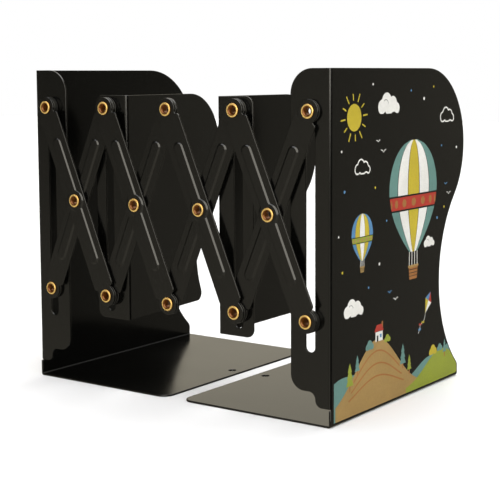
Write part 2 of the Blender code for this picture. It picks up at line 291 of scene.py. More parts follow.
def add_rows(bm, rows, lift=0):
    """Bands of faces between equal loops. rows are [(points, out)]; Y is minus out."""
    made = []
    for points, out in rows:
        made.append([bm.verts.new((x, -out - lift, y)) for x, y in points])
    for upper, lower in zip(made, made[1:]):
        add_band(bm, upper, lower)
    return made


def fill(bm, loops, normal=(0, -1, 0)):
    """Triangles between closed loops of points."""
    pairs = [pair for verts in loops for pair in zip(verts, verts[1:] + verts[:1])]
    edges = [bm.edges.get(pair) or bm.edges.new(pair) for pair in pairs]
    bmesh.ops.triangle_fill(bm, edges=edges, use_beauty=True, normal=normal)


def add_rim(bm, points, thickness, hole, lift=0):
    """The rounded edge along one outline. Returns its front and back rows."""
    points = oriented(points, hole)
    rows = [(inset(points, distance), out) for distance, out in rim_rows(thickness)]
    made = add_rows(bm, rows, lift)
    wear = point_layer(bm, "wear")
    for row in made[2:-2]:
        for vert in row:
            vert[wear] = 1.0
    return made[0], made[-1]


def flat_sheet(outline, holes, thickness):
    """A sheet with rounded edges, before it is folded."""
    bm = bmesh.new()
    point_layer(bm, "wear")
    rims = [add_rim(bm, outline, thickness, False)]
    rims += [add_rim(bm, hole, thickness, True) for hole in holes]
    for loops in zip(*rims):
        fill(bm, loops)
    return bm


def crease_lines(bm, normal, places):
    """Cuts the faces across this direction, so that they can bend."""
    for place in places:
        point = tuple(place * side for side in normal)
        everything = bm.verts[:] + bm.edges[:] + bm.faces[:]
        bmesh.ops.bisect_plane(bm, geom=everything, dist=close, plane_co=point, plane_no=normal)


def bend_places(radius, angle):
    wrap = radius * angle
    inner = [wrap * step / bend_steps for step in range(bend_steps + 1)]
    return [-bend_guard] + inner + [wrap + bend_guard]


def folded(run, out, radius, angle):
    """Where a point of a folded strip lands: along and across the strip's first leg."""
    turned = max(0, min(run / radius, angle))
    rest = run - radius * turned
    if run <= 0:
        return -run, -out
    along = -radius * math.sin(turned) - rest * math.cos(turned) - out * math.sin(turned)
    depth = radius - radius * math.cos(turned) + rest * math.sin(turned) - out * math.cos(turned)
    return along, depth


def finished(name, bm):
    """A mesh with outward faces and smooth shading, from the closed solid in bm."""
    bmesh.ops.remove_doubles(bm, verts=bm.verts[:], dist=close)
    bmesh.ops.recalc_face_normals(bm, faces=bm.faces[:])
    mesh = bpy.data.meshes.new(name)
    bm.to_mesh(mesh)
    bm.free()
    mesh.shade_smooth()
    return mesh


def dress(name, mesh, location, turn, material, body, slot_name, *nodes):
    """A finished piece: in place, riding on its body and standing for its CAD nodes."""
    piece = bpy.data.objects.new(name, mesh)
    piece.location = location
    piece.rotation_euler = turn
    if not mesh.materials:
        mesh.materials.append(material)
    bpy.context.scene.collection.objects.link(piece)
    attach(piece, body)
    if nodes:
        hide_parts(*nodes)


def end_plate_mesh(name, side):
    """An end plate round its top pin. side is 1 for the left plate and -1 for its mirror image."""
    half_sheet = plate_sheet / 2
    bend = plate_bend_inside + half_sheet
    seat = half_sheet + bend
    wrap = bend * quarter

    def panel_run(depth):
        return wrap + depth - seat

    def flange_run(width):
        return seat - width

    def rise(height):
        return height - seat

    base_end = -wrap - (base_width - seat)
    outline = [(panel_run(depth), rise(height)) for depth, height in plate_back()]
    corner = base_corner_radius
    base_back = panel_run(base_depth)
    base_front = panel_run(0)
    outline.append((base_back, 0))
    outline += arc((base_back - corner, base_end + corner), corner, 0, -quarter)
    outline += arc((base_front + corner, base_end + corner), corner, -quarter, -2 * quarter)
    step_radius = flange_step_drop / 2
    step_low = flange_bottom_height - flange_step_drop
    foot_top = rise(step_low - flange_slit)
    outline += [(base_front, foot_top), (wrap, foot_top)]
    low_step = (flange_run(flange_step_inset - step_radius), rise(step_low + step_radius))
    high_step = (flange_run(flange_step_inset + step_radius), rise(flange_bottom_height - step_radius))
    outline.append((wrap, rise(step_low)))
    outline += arc(low_step, step_radius, -quarter, -2 * quarter)
    outline += arc(high_step, step_radius, 0, quarter)[1:]
    low = flange_bottom_radius
    free_low = (flange_run(flange_width - low), rise(flange_bottom_height + low))
    outline += arc(free_low, low, -quarter, -2 * quarter)
    high = flange_top_radius
    free_high = (flange_run(flange_width - high), rise(plate_height - high))
    outline += arc(free_high, high, 2 * quarter, quarter)

    pin_run = flange_run(pin_inset)
    hole_place = (panel_run(base_depth / 2), -wrap - (base_width - base_hole_inset - seat))
    holes = [
        circle((pin_run, rise(top_pin_height)), hole_radius),
        upright_slot(pin_run, rise(slot_bottom_height), rise(slot_top_height), slot_radius),
        circle(hole_place, base_hole_radius),
    ]
    bm = flat_sheet(outline, holes, plate_sheet)
    places = bend_places(bend, quarter)
    crease_lines(bm, (1, 0, 0), places)
    crease_lines(bm, (0, 0, 1), [-place for place in places])
    fold_side = point_layer(bm, "fold")
    for vert in bm.verts:
        run, minus_out, up = vert.co
        sheet_out = -minus_out
        if sheet_out > 0:
            on_panel = max(0, min(1, run / wrap)) * max(0, min(1, 1 + up / wrap))
            sheet_out *= 1 - on_panel * ink_depth / half_sheet
        if up <= close:
            inward, height = folded(-up, sheet_out, bend, quarter)
            across, depth, height = height + half_sheet, run - wrap + seat, inward + seat
            hollow = up > -wrap - close
        elif up <= foot_top + close:
            across, depth, height = half_sheet - sheet_out, run - wrap + seat, up + seat
            hollow = False
        else:
            inward, out = folded(run, sheet_out, bend, quarter)
            across, depth, height = inward + seat, out + half_sheet, up + seat
            hollow = -close < run < wrap + close
        if hollow and sheet_out < 0:
            vert[fold_side] = 1.0
        vert.co = (side * (across - pin_inset), depth, height - top_pin_height)
    return finished(name, bm)


def divider_mesh(name, side, fold_deg):
    """A divider round its top pin. side is 1 where the flange points to the right."""
    half_sheet = divider_sheet / 2
    bend = divider_bend_inside + half_sheet
    seat = half_sheet + bend
    fold = math.radians(fold_deg)
    wrap = bend * fold

    outline = [(wrap + depth - seat, height) for depth, height in divider_back()]
    corner = divider_flange_radius
    free = seat - divider_flange_width
    low = (free + corner, divider_bottom_height + corner)
    high = (free + corner, divider_top_height - corner)
    outline += arc(low, corner, -quarter, -2 * quarter)
    outline += arc(high, corner, 2 * quarter, quarter)
    pin_run = seat - divider_fold_to_pin
    holes = [
        circle((pin_run, top_pin_height), hole_radius),
        upright_slot(pin_run, divider_slot_bottom_height, slot_top_height, slot_radius),
    ]
    bm = flat_sheet(outline, holes, divider_sheet)
    crease_lines(bm, (1, 0, 0), bend_places(bend, fold))
    fold_side = point_layer(bm, "fold")
    for vert in bm.verts:
        run, minus_out, height = vert.co
        if minus_out > 0 and -close < run < wrap + close:
            vert[fold_side] = 1.0
        inward, out = folded(run, -minus_out, bend, fold)
        across = side * (inward + seat - divider_fold_to_pin)
        vert.co = (across, out + half_sheet, height - top_pin_height)
    return finished(name, bm)


# Arms.


def arm_outline():
    """An upright arm's edge, with a round head, a notch and a shoulder at each end."""
    pin = -arm_length / 2
    side = arm_width / 2 - arm_shoulder_radius
    shoulder = (side, arm_shoulder_to_pin)
    away = math.hypot(*shoulder)
    notch_away = arm_head_radius + arm_notch_radius
    apart = arm_shoulder_radius + arm_notch_radius
    swing = math.acos((away**2 + notch_away**2 - apart**2) / (2 * away * notch_away))
    notch_angle = math.atan2(shoulder[1], shoulder[0]) - swing
    notch = (notch_away * math.cos(notch_angle), notch_away * math.sin(notch_angle))
    turn = math.atan2(notch[1] - shoulder[1], notch[0] - shoulder[0])
    right = arc(shoulder, arm_shoulder_radius, 0, turn)
    right += arc(notch, arm_notch_radius, turn + math.pi, notch_angle + math.pi)[1:]
    right += arc((0, 0), arm_head_radius, notch_angle, -quarter)[1:]
    left = [(-across, up) for across, up in reversed(right[:-1])]
    lower = [(across, pin + up) for across, up in right + left]
    return lower + [(-across, -up) for across, up in lower]


def rib_outline(distance):
    """The rib's edge this far up its slope: boss, fillets, sides and round ends."""
    half_rib = rib_width / 2
    end = arm_length / 2 - rib_to_pin - half_rib
    reach = boss_radius + rib_fillet
    fillet = (half_rib + rib_fillet, math.sqrt(reach**2 - (half_rib + rib_fillet) ** 2))
    meet = math.atan2(fillet[1], fillet[0])
    side = arc((0, 0), boss_radius - distance, 0, meet)
    side += arc(fillet, rib_fillet + distance, meet + math.pi, math.pi)[1:]
    half = side + arc((0, end), half_rib - distance, 0, math.pi)
    half += [(-across, up) for across, up in reversed(side[1:])]
    return half + [(-across, -up) for across, up in half]


def eased(share):
    """A straight rise from 0 to 1 with rounded ends."""
    if share > 0.5:
        return 1 - eased(1 - share)
    slope = 1 / (1 - rib_ease)
    if share < rib_ease:
        return slope * share**2 / (2 * rib_ease)
    return slope * (share - rib_ease / 2)


def arm_mesh(name, origin_height):
    """An arm standing upright with a pressed rib, its origin this far above its middle."""
    bm = bmesh.new()
    point_layer(bm, "wear")
    pin = arm_length / 2
    rims = [add_rim(bm, arm_outline(), arm_sheet, False)]
    rims += [add_rim(bm, circle((0, up), hole_radius), arm_sheet, True) for up in (pin, -pin)]
    middle = add_rim(bm, circle((0, 0), hole_radius), arm_sheet, True, rib_height)
    levels = [(-guard, 0)]
    for step in range(rib_steps + 1):
        share = step / rib_steps
        levels.append((rib_slope * share, rib_height * eased(share)))
    levels.append((rib_slope + guard, rib_height))
    for face, skin in ((0, arm_sheet / 2), (1, -arm_sheet / 2)):
        rows = [(rib_outline(distance), skin + lift) for distance, lift in levels]
        made = add_rows(bm, rows)
        fill(bm, [rim[face] for rim in rims] + [made[0]])
        fill(bm, [made[-1], middle[face]])
    for vert in bm.verts:
        vert.co.z -= origin_height
    return finished(name, bm)


# Turned pieces.


def turned_mesh(name, profile):
    """A ring turned about Z from its closed profile of radius and height."""
    bm = bmesh.new()
    rows = []
    for step in range(turned_steps):
        angle = 2 * math.pi * step / turned_steps
        spot = [(radius * math.cos(angle), radius * math.sin(angle), up) for radius, up in profile]
        rows.append([bm.verts.new(place) for place in spot])
    for row, following in zip(rows, rows[1:] + rows[:1]):
        add_band(bm, row, following)
    return finished(name, bm)


def rivet_profile(grip):
    """A hollow rivet: a rolled head that runs into the bore like a trumpet, and a rolled tail."""
    crown = head_crown_radius
    lip = rivet_head_thickness * head_lip_share
    wide, tall = rivet_head_radius - crown, rivet_head_thickness - lip
    profile = [(rivet_head_radius - undercut, 0)]
    profile += ellipse((crown, lip), wide, tall, 0, quarter, head_steps)
    deep = rivet_head_thickness - funnel_depth
    wide = crown - rivet_bore_radius
    profile += ellipse((crown, deep), wide, funnel_depth, quarter, math.pi, funnel_steps)[1:]

    crown = tail_crown_radius
    deep = -grip - rivet_tail_thickness + tail_funnel_depth
    wide = crown - rivet_bore_radius
    profile += ellipse((crown, deep), wide, tail_funnel_depth, math.pi, 3 * quarter, tail_steps)
    lip = rivet_tail_thickness * tail_lip_share
    wide, tall = rivet_tail_radius - crown, rivet_tail_thickness - lip
    profile += ellipse((crown, -grip - lip), wide, tall, -quarter, 0, tail_steps)[1:]
    return profile + [(rivet_tail_radius - undercut, -grip), (shank_radius, -grip), (shank_radius, 0)]


def ring_profile(thickness):
    """A spacer, washer or collar of this thickness, with rounded corners."""
    outer, inner = ring_radius - ring_round, hole_radius + ring_round
    high, low = thickness - ring_round, ring_round
    profile = []
    for across, up, turns in ((outer, high, 1), (outer, low, 0), (inner, low, -1), (inner, high, -2)):
        start = quarter * turns
        corner = (across, up)
        profile += ellipse(corner, ring_round, ring_round, start, start - quarter, ring_corner_steps)
    return profile


# Materials.


def feed(target, inputs):
    """Sets a node's inputs, by place or by name, to values or links."""
    for key, value in inputs.items():
        socket = target.inputs[key]
        if isinstance(value, bpy.types.NodeSocket):
            target.id_data.links.new(value, socket)
        else:
            socket.default_value = value


def node(near, kind, settings, inputs):
    """A new node in the tree that near, a tree or one of its sockets, belongs to."""
    made = near.id_data.nodes.new(kind)
    for key, value in settings.items():
        setattr(made, key, value)
    feed(made, inputs)
    return made


def new_material(name):
    """A material, its shader and the piece's own coordinates."""
    material = bpy.data.materials.new(name)
    material.use_nodes = True
    tree = material.node_tree
    place = node(tree, "ShaderNodeTexCoord", {}, {}).outputs["Object"]
    return material, tree.nodes["Principled BSDF"], place


def noise(place, scale, detail=2.0):
    inputs = {"Vector": place, "Scale": scale, "Detail": detail}
    return node(place, "ShaderNodeTexNoise", {}, inputs).outputs["Fac"]


def spread(value, low, high, out_low, out_high, shape="LINEAR"):
    """The value taken from one range to another, and kept inside it."""
    settings = {"clamp": True, "interpolation_type": shape}
    inputs = {0: value, 1: low, 2: high, 3: out_low, 4: out_high}
    return node(value, "ShaderNodeMapRange", settings, inputs).outputs[0]


def vary(value, low, high, reach=0.2):
    """A noise round 0.5, stretched to run from low to high."""
    return spread(value, 0.5 - reach, 0.5 + reach, low, high)


def calculated(operation, *values):
    inputs = dict(enumerate(values))
    return node(values[0], "ShaderNodeMath", {"operation": operation}, inputs).outputs[0]


def vector_node(near, operation, output, inputs):
    return node(near, "ShaderNodeVectorMath", {"operation": operation}, inputs).outputs[output]


def tinted(colour, factor):
    """The colour made darker or lighter by a factor from the nodes."""
    return vector_node(factor, "SCALE", 0, {0: colour, "Scale": factor})


def marked(near, layer):
    return node(near, "ShaderNodeAttribute", {"attribute_name": layer}, {}).outputs["Fac"]


def bump(height, strength, distance, **below):
    inputs = {"Height": height, "Strength": strength, "Distance": distance, **below}
    return node(height, "ShaderNodeBump", {}, inputs).outputs[0]


def off_axis(place):
    """The distance from the piece's own Z axis."""
    split = node(place, "ShaderNodeSeparateXYZ", {}, {0: place})
    flat = node(place, "ShaderNodeCombineXYZ", {}, {0: split.outputs[0], 1: split.outputs[1]})
    return vector_node(place, "LENGTH", "Value", {0: flat.outputs[0]})


def turning_marks(radius, rate, strength, distance):
    rings = calculated("SINE", calculated("MULTIPLY", radius, rate))
    return bump(rings, strength, distance)


def coat_material(name, colour, rough, specular):
    """Powder coat: orange peel, a slightly cloudy gloss, paler worn edges and dull hollows."""
    material, shader, place = new_material(name)
    clouds = noise(place, 22.0, 3.0)
    grain = noise(place, 900.0)
    speck = noise(place, 2600.0, 1.0)
    rubs = vary(noise(place, 160.0, 3.0), 0.2, 1.0, 0.15)
    edge = calculated("MULTIPLY", marked(place, "wear"), rubs)
    tone = calculated("MULTIPLY", vary(clouds, 0.90, 1.10), vary(speck, 0.92, 1.08, 0.15))
    worn = calculated("MULTIPLY_ADD", edge, wear_lightens, tone)
    gloss = vary(clouds, rough - gloss_cloud, rough + gloss_cloud)
    rubbed = calculated("MULTIPLY_ADD", edge, wear_roughens, gloss)
    dulled = calculated("MULTIPLY_ADD", marked(place, "fold"), hollow_roughens, rubbed)
    coarse = bump(grain, coat_peel, 0.00004)
    fine = bump(speck, coat_peel * speck_share, 0.00001, Normal=coarse)
    feed(shader, {"Base Color": tinted(colour, worn), "Roughness": dulled})
    feed(shader, {"Normal": fine, "Specular IOR Level": specular})
    return material


def brass_material():
    """Polished brass in fine turned rings, painted highlight on the roll, painted shade in bore and
    edge.
    """
    material, shader, place = new_material("polished_brass")
    radius = off_axis(place)
    smear = noise(place, 500.0, 3.0)
    bore, rim = brass_painted_light_tones[0][0], brass_painted_light_tones[-1][0]
    # The ramp paints a highlight on the roll and shade in the bore and at the edge.
    ramp = node(place, "ShaderNodeValToRGB", {}, {0: spread(radius, bore, rim, 0.0, 1.0)})
    marks = ramp.color_ramp.elements
    while len(marks) < len(brass_painted_light_tones):
        marks.new(0.5)
    for mark, (away, colour) in zip(marks, brass_painted_light_tones):
        mark.position = (away - bore) / (rim - bore)
        mark.color = (*colour, 1)
    patina = vary(smear, 0.88, 1.05)
    feed(shader, {"Base Color": tinted(ramp.outputs[0], patina), "Metallic": 0.55})
    grooves = turning_marks(radius, rate=42000.0, strength=0.25, distance=0.000004)
    feed(shader, {"Roughness": vary(smear, 0.27, 0.36), "Normal": grooves})
    return material


def steel_material():
    """Dark rings: blackened steel with fine turning marks and a little wear."""
    material, shader, place = new_material("dark_steel")
    smear = noise(place, 420.0, 4.0)
    feed(shader, {"Base Color": tinted(steel_colour, vary(smear, 0.75, 1.25)), "Metallic": 0.8})
    grooves = turning_marks(off_axis(place), rate=30000.0, strength=0.3, distance=0.000005)
    feed(shader, {"Roughness": vary(smear, 0.34, 0.50), "Normal": grooves})
    return material


def ink_material(name, colour):
    """Printed ink: nearly even colour with a fine screen grain, over the coat's orange peel."""
    material, shader, place = new_material(name)
    grain = noise(place, 1400.0)
    clouds = noise(place, 60.0, 3.0)
    tone = calculated("MULTIPLY", vary(grain, 0.93, 1.06), vary(clouds, 0.93, 1.05))
    feed(shader, {"Base Color": tinted(colour, tone), "Specular IOR Level": 0.25})
    feed(shader, {"Roughness": vary(clouds, 0.50, 0.62), "Normal": bump(grain, 0.15, 0.00003)})
    return material


# What wear and folds add to the coat's colour factor or roughness, and its orange peel.
wear_lightens = 0.7
wear_roughens = -0.08
hollow_roughens = 0.75
gloss_cloud = 0.035
coat_peel = 0.08
speck_share = 0.6
steel_colour = (0.042, 0.041, 0.037)

# The brass's colour by the distance from a rivet's axis: painted shade in the bore,
# a painted highlight on the roll and painted shade at the edge.
brass_painted_light_tones = [
    (0.0019, (0.20, 0.062, 0.006)),
    (0.0024, (0.12, 0.038, 0.004)),
    (0.0028, (0.14, 0.045, 0.005)),
    (0.0030, (0.50, 0.25, 0.045)),
    (0.0032, (0.95, 0.65, 0.21)),
    (0.0037, (0.95, 0.65, 0.21)),
    (0.0039, (0.55, 0.28, 0.060)),
    (0.0040, (0.34, 0.14, 0.025)),
]

coat = coat_material("black_powder_coat", (0.0018, 0.0018, 0.0015), 0.16, 0.48)
arm_coat = coat_material("black_arm_coat", (0.0024, 0.0023, 0.0019), 0.20, 0.50)
brass = brass_material()
steel = steel_material()


# The rack's pieces.


def column_x(column):
    return pin_inset - overall_width / 2 + (column - 1) * column_pitch


upright = (0, 0, 0)
to_front = (quarter, 0, 0)
last = pin_columns


def hang(name, column, body, mesh):
    """A folded sheet on the top pin of its column."""
    place = (column_x(column), flange_front, top_pin_height)
    dress(f"{name}_fine", mesh, place, upright, coat, body, "coat", name)


def dress_sheets():
    hang("left_end_plate", 1, "left_end", end_plate_mesh("left_end_plate_fine", 1))
    hang("right_end_plate", last, "right_end", end_plate_mesh("right_end_plate_fine", -1))
    left_mesh = divider_mesh("left_divider_fine", -1, left_divider_fold_deg)
    right_mesh = divider_mesh("right_divider_fine", 1, right_divider_fold_deg)
    hang("left_divider", 2, "left_leaf", left_mesh)
    hang("right_divider", last - 1, "right_leaf", right_mesh)


def dress_arms():
    front_mesh = arm_mesh("front_arm_fine", arm_length / 2)
    rear_mesh = arm_mesh("rear_arm_fine", 0)
    front_middle = flange_front - (front_arm_back + front_arm_face) / 2
    rear_middle = flange_front - (rear_arm_back + rear_arm_face) / 2
    for cell in range(1, last):
        start = (column_x(cell), front_middle, top_pin_height)
        crossing = (column_x(cell) + column_pitch / 2, rear_middle, middle_height)
        for name, mesh, place, turn, body in (
            (f"front_arm_{cell}", front_mesh, start, -arm_angle, f"front_link_{cell}"),
            (f"rear_arm_{cell}", rear_mesh, crossing, arm_angle, f"rear_link_{cell}"),
        ):
            dress(f"{name}_fine", mesh, place, (0, turn, 0), arm_coat, body, "arm_coat", name)


def dress_turned(name, profile, seat, material, body, slot_name):
    mesh = turned_mesh(f"{name}_fine", profile)
    dress(f"{name}_fine", mesh, seat, to_front, material, body, slot_name, name)


def dress_stack(row, column, height, has_front, has_rear, sheet, body):
    """The rivet of one pin and its rings. sheet is the flange behind it, or 0 without one."""

    def seat(out):
        return (column_x(column), flange_front - out, height)

    head_seat = (front_arm_face if has_front else rear_arm_face) + seat_gap
    back = -sheet if sheet else rear_arm_back
    profile = rivet_profile(head_seat - back + seat_gap)
    dress_turned(f"{row}_rivet_{column}", profile, seat(head_seat), brass, body, "rivet")
    if has_front and has_rear:
        profile = ring_profile(front_arm_back - rear_arm_face - 2 * seat_gap)
        ring_seat = seat(rear_arm_face + seat_gap)
        dress_turned(f"{row}_spacer_{column}", profile, ring_seat, steel, body, "ring")
    if sheet:
        kind, arm_back = ("washer", rear_arm_back) if has_rear else ("collar", front_arm_back)
        profile = ring_profile(arm_back - 2 * seat_gap)
        dress_turned(f"{row}_{kind}_{column}", profile, seat(seat_gap), steel, body, "ring")


def dress_lattice():
    sheets = {1: plate_sheet, 2: divider_sheet, last - 1: divider_sheet, last: plate_sheet}
    for column in range(1, last + 1):
        sheet = sheets.get(column, 0)
        first, final = column == 1, column == last
        top_body = "left_end" if first else "right_end" if final else f"front_link_{column}"
        bottom_body = "rear_link_1" if first else f"front_link_{column - 1}"
        dress_stack("top", column, top_pin_height, not final, not first, sheet, top_body)
        dress_stack("bottom", column, bottom_pin_height, not first, not final, sheet, bottom_body)
    head_seat = front_arm_face + rib_height + seat_gap
    grip = head_seat - rear_arm_back - rib_height + seat_gap
    for cell in range(1, last):
        seat = (column_x(cell) + column_pitch / 2, flange_front - head_seat, middle_height)
        name = f"middle_rivet_{cell}"
        dress_turned(name, rivet_profile(grip), seat, brass, f"front_link_{cell}", "rivet")


dress_sheets()
dress_arms()
dress_lattice()


# The generic print.

# A picture of the builder's own on the outer faces: balloons over hills. Millimetres, as depth
# from the front fold and height from the floor. A higher layer lies over a lower one.
inks = {
    "white": (0.72, 0.71, 0.66),
    "teal": (0.115, 0.235, 0.205),
    "mustard": (0.480, 0.375, 0.025),
    "ochre": (0.340, 0.215, 0.070),
    "brown": (0.330, 0.135, 0.035),
    "blue": (0.080, 0.215, 0.390),
    "red": (0.400, 0.035, 0.020),
    "green": (0.260, 0.300, 0.030),
    "black": (0.011, 0.011, 0.0095),
}
print_shapes = []
print_foot = 2.2
print_edge = 1.2
cap_steps = 6
ground_step = 1.0
hair = 0.05

sun_place = (24, 168)
sun_radius = 7.5
ray_start = 9.6
ray_ends = (13.8, 12.6)
ray_turn = 0.1
near_middle = 50
near_foot = 4.5
furrow_shares = (0.80, 0.60, 0.40)
line_width = 0.9
house_place = (52, 39.5)

# A balloon's sizes as shares of its radius, and heights as shares of its height from the mouth up.
balloon_tall = 2.3
balloon_widest = 0.56
balloon_mouth = 0.16
balloon_fullness = 0.92
balloon_top = 0.995
gore_steps = 30
stripes = ((-1, -0.672), (-0.648, -0.252), (-0.228, 0.228), (0.252, 0.648), (0.672, 1))
band_shares = (0.39, 0.50, -0.99, 0.99)
band_border = (0.375, 0.515, -1.003, 1.003)
bead_share = 0.445
bead_size = 0.085
bead_turn = 0.42
rope_places = (-1, -0.34, 0.34, 1)
rope_top, rope_foot = 0.1615, 0.17
rope_drop = 0.30
rope_width = 0.018
tub_top, tub_floor, tub_rim = 0.1904, 0.1564, 0.1955
tub_deep = 0.27
tub_rows = (0.25, 0.5, 0.75)
row_width = 0.012
rim_width = 0.05

# Circles of a cloud and a bush as x, y and radius, and parts round the middle or foot of the rest.
cloud_puffs = [(-8.0, -1.0, 4.2), (-2.5, 1.6, 5.6), (4.5, 0.6, 4.6), (9.0, -1.8, 3.2), (0, -1.5, 4.5)]
cloud_level = -4.8
cloud_steps = 90
cloud_line = 0.85
bush_puffs = [(-2.2, 0, 2.2), (0, 1.6, 2.6), (2.4, 0.2, 2.1)]
bush_level = -1.4
fir_trunk = [(-0.6, -1), (0.6, -1), (0.6, 2.5), (-0.6, 2.5)]
fir_tiers = [(0.30, 0.0), (0.15, 0.30), (0.24, 0.30), (0.10, 0.60), (0.17, 0.60)]
kite_corners = [(0, 0.5), (0.3, 0.1), (0, -0.5), (-0.3, 0.1), (0, 0.1)]
kite_bow = [(0, -0.15), (-1.5, -0.9), (-1.5, 0.9), (0, 0.15), (1.5, 0.9), (1.5, -0.9)]
house_parts = [
    ("white", 3, [(-4, 0), (4, 0), (4, 5.5), (-4, 5.5)]),
    ("red", 3, [(-5.2, 5.7), (5.2, 5.7), (2.8, 9.6), (-2.8, 9.6)]),
    ("black", 4, [(-2.7, 0), (-0.9, 0), (-0.9, 3.4), (-2.7, 3.4)]),
    ("blue", 4, [(0.8, 1.9), (2.8, 1.9), (2.8, 3.9), (0.8, 3.9)]),
    ("brown", 2.75, [(2.9, 8.6), (4.3, 6.6), (4.3, 11), (2.9, 11)]),
]


def draw(ink, layer, outline, *holes):
    print_shapes.append((ink, layer, outline, holes))


def placed(points, centre, scale=1.0, tilt=0.0):
    """Points round the origin, scaled, turned and moved to their place in the picture."""
    level, rise = scale * math.cos(tilt), scale * math.sin(tilt)
    return [(centre[0] + x * level - y * rise, centre[1] + x * rise + y * level) for x, y in points]


def disc(centre, wide, tall, steps):
    return ellipse(centre, wide, tall, 0, 2 * math.pi, steps)[:-1]


def stroke(points, width):
    """The outline of a line of this width with round ends."""
    half = width / 2
    sides = []
    for line in (points, points[::-1]):
        for before, (x, y), after in zip(line[:1] + line, line, line[1:]):
            along = Vector((after[0] - before[0], after[1] - before[1])).normalized()
            sides.append((x - along.y * half, y + along.x * half))
        before, tip = line[-2:]
        start = math.atan2(tip[0] - before[0], before[1] - tip[1])
        sides += ellipse(tip, half, half, start, start - math.pi, cap_steps)
    return sides


def puffs(circles, floor_level, steps):
    """Circles joined round the origin and cut level at the bottom."""
    points = []
    for step in range(steps):
        angle = 2 * math.pi * step / steps
        way = Vector((math.cos(angle), math.sin(angle)))
        reach = 0.0
        for x, y, radius in circles:
            along = way.x * x + way.y * y
            inside = radius**2 - (x * x + y * y - along**2)
            if inside > 0:
                reach = max(reach, along + math.sqrt(inside))
        if way.y < 0:
            reach = min(reach, floor_level / way.y)
        points.append((way.x * reach, way.y * reach))
    return points


def envelope(share):
    """A balloon's half width at a share of its height. Its radius is 1."""
    if share > balloon_widest:
        return math.sqrt(max(0, 1 - ((share - balloon_widest) / (1 - balloon_widest)) ** 2))
    bulge = math.sin(quarter * share / balloon_widest) ** balloon_fullness
    return balloon_mouth + (1 - balloon_mouth) * bulge


def gore(low, high, first, second):
    """A stripe of a balloon between two shares of its height and two of its half width."""
    sides = []
    for across, order in ((first, 1), (second, -1)):
        for step in range(gore_steps + 1)[::order]:
            share = low + (high - low) * step / gore_steps
            sides.append((across * envelope(share), balloon_tall * (share - balloon_widest)))
    return sides


def balloon(centre, radius, colours, band, tub_ink):
    """A striped balloon with a beaded band, four ropes and a woven tub."""

    def part(ink, layer, points):
        draw(ink, layer, placed(points, centre, radius))

    hairline = 0.1 / radius
    for ink, stripe in zip(colours, stripes):
        part(ink, 1, gore(0.0, balloon_top, *stripe))
    part("black", 2, gore(*band_border))
    part(band, 3, gore(*band_shares))
    level = balloon_tall * (bead_share - balloon_widest)
    for index in range(-3, 4):
        turn = index * bead_turn
        wide = bead_size * math.cos(turn) + 1.5 * hairline
        spot = (envelope(bead_share) * math.sin(turn), level)
        part(tub_ink, 4, disc(spot, wide, bead_size, 16))
    mouth = -balloon_tall * balloon_widest
    top = mouth - rope_drop
    low = top - tub_deep
    for place in rope_places:
        line = [(place * rope_top, mouth + 3 * hairline), (place * rope_foot, top)]
        part("white", 0.8, stroke(line, rope_width + 1.2 * hairline))
    part(tub_ink, 1.3, [(-tub_top, top), (-tub_floor, low), (tub_floor, low), (tub_top, top)])
    for row in tub_rows:
        height = top - tub_deep * row
        reach = tub_top + (tub_floor - tub_top) * row - hairline
        part("black", 2, stroke([(-reach, height), (reach, height)], row_width + hairline))
    part("ochre", 3, stroke([(-tub_rim, top), (tub_rim, top)], rim_width))


def cloud(ink, x, y, scale):
    """A cloud of solid ink with a black curl."""
    draw(ink, 1, placed(puffs(cloud_puffs, cloud_level, cloud_steps), (x, y), scale))
    curl = ellipse((-3.6, 0.2), 3.0, 3.0, 0.3, 2.3, 5)
    draw("black", 2, placed(stroke(curl, 0.35), (x, y), scale))


def open_cloud(ink, x, y, scale):
    """The outline of a cloud."""
    outline = placed(puffs(cloud_puffs, cloud_level, cloud_steps), (x, y), scale)
    draw(ink, 1, inset(outline, -cloud_line / 2), inset(outline, cloud_line / 2))


def back_depth(height):
    """How deep the panel is at this height, in millimetres."""
    edge = [(depth * 1000, up * 1000) for depth, up in plate_back()]
    for (deep, high), (next_deep, low) in zip(edge, edge[1:]):
        if low <= height <= high and high > low:
            return deep + (next_deep - deep) * (high - height) / (high - low)
    return edge[-1][0]


def hill(ink, layer, ridge, start, end):
    """Ground from the print's foot up to a ridge line, ending at the panel's back edge."""
    top = []
    depth = start
    while depth <= end:
        height = ridge(depth)
        if height <= print_foot + hair:
            if top:
                break
        elif depth > back_depth(height) - print_edge:
            break
        else:
            top.append((depth, height))
        depth += ground_step
    last_depth, height = top[-1]
    closing = []
    if depth <= end and height > print_foot + 1:
        while height > print_foot + 0.5:
            closing.append((back_depth(height) - print_edge, height))
            height -= ground_step
        closing = [point for point in closing if point[0] > last_depth + hair]
        closing.append((back_depth(print_foot) - print_edge - 2, print_foot))
    else:
        closing.append((last_depth, print_foot))
    draw(ink, layer, [(top[0][0], print_foot)] + top + closing)


def far_ridge(depth):
    return 21 + 7.5 * math.sin((depth - 4) / 19.0) + 3.0 * math.sin(depth / 8.3 + 1.2)


def near_ridge(depth):
    return 36.5 * math.exp(-(((depth - near_middle) / 33.0) ** 2)) + near_foot


def low_ridge(depth):
    return 17.5 * math.exp(-(((depth - 128) / 27.0) ** 2)) + 4.0


def fir(ink, x, y, tall):
    """A pointed tree of three tiers, two millimetres up a short trunk."""
    draw("brown", 2.75, placed(fir_trunk, (x, y)))
    right = [(across * tall, 2 + share * tall) for across, share in fir_tiers]
    left = [(-across, up) for across, up in reversed(right)]
    draw(ink, 3, placed(right + [(0, 2 + tall)] + left, (x, y)))


def bush(ink, x, y, scale):
    draw(ink, 3, placed(puffs(bush_puffs, bush_level, 48), (x, y), scale))


def bird(ink, x, y, wide):
    line = []
    for step in range(13):
        across = -1 + step / 6
        line.append((across / 2, 0.26 * abs(math.sin(across * math.pi * 0.62)) - 0.1))
    draw(ink, 1, stroke(placed(line, (x, y), wide), 0.42))


